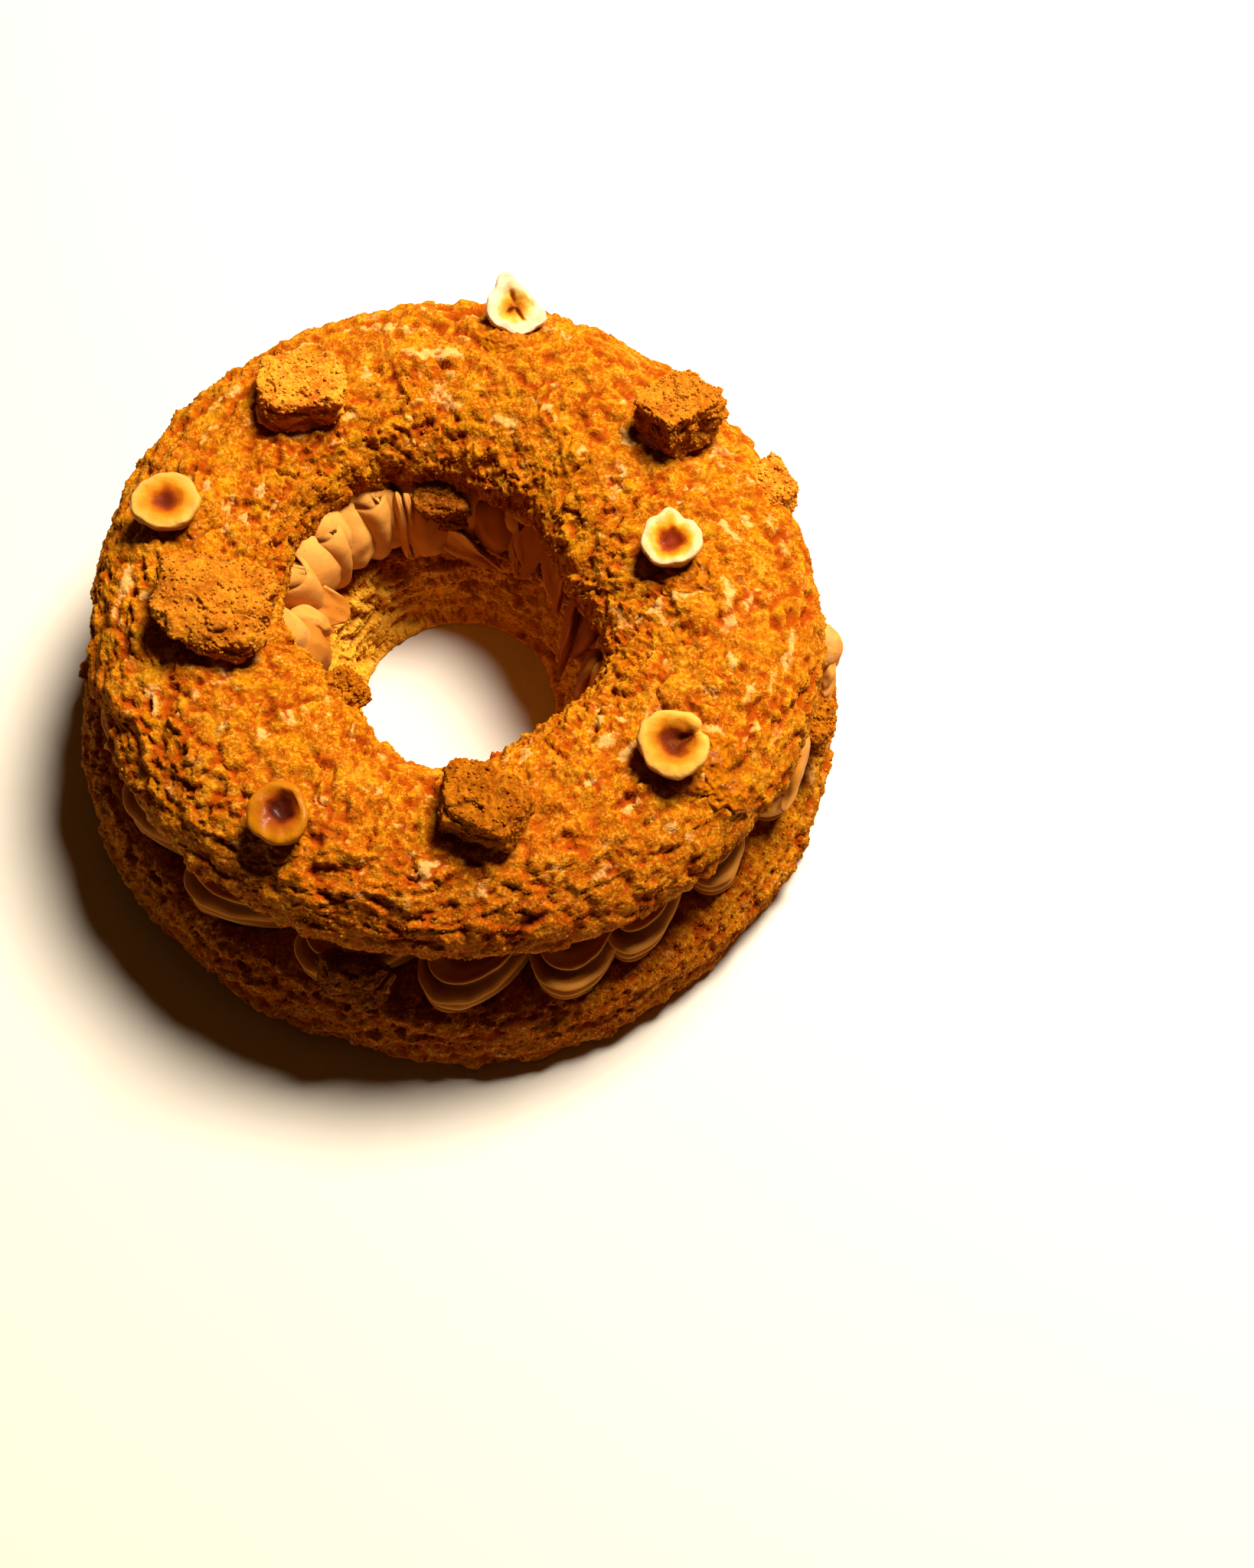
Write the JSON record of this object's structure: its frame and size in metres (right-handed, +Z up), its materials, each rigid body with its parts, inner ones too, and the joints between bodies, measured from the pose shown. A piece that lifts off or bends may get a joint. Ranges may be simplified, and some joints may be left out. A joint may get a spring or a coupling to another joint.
{
  "type": "paris-brest",
  "caption": "Ring of choux pastry with a crackled golden crust, cut level and filled with looped praline cream, topped with half hazelnuts and crumble chunks.",
  "frame": {"origin": "on the ring's axis, at the level of the surface that the pastry rests on", "axes": "+Z up along the ring's axis; -Y toward the side that the picture shows nearest, +X to its right"},
  "size_m": [0.1598, 0.162, 0.0614],
  "materials": {
    "crust": "baked crackled crust, dry and granular",
    "cream": "smooth piped praline cream with fine dark specks, soft sheen",
    "hazelnut": "roasted half hazelnut, pale cut rim and red-brown hollow",
    "crumble": "coarse baked crumble, dry"
  },
  "bodies": {
    "root": {"base": "crust", "lid": "crust", "cream": "cream", "hazelnut_1": "hazelnut", "hazelnut_2": "hazelnut", "hazelnut_3": "hazelnut", "hazelnut_4": "hazelnut", "hazelnut_5": "hazelnut", "hazelnut_6": "hazelnut", "crumble_1": "crumble", "crumble_2": "crumble", "crumble_3": "crumble", "crumble_4": "crumble", "crumble_5": "crumble", "crumble_6": "crumble", "crumble_7": "crumble", "crumble_8": "crumble", "crumble_9": "crumble"}
  },
  "joints": []
}
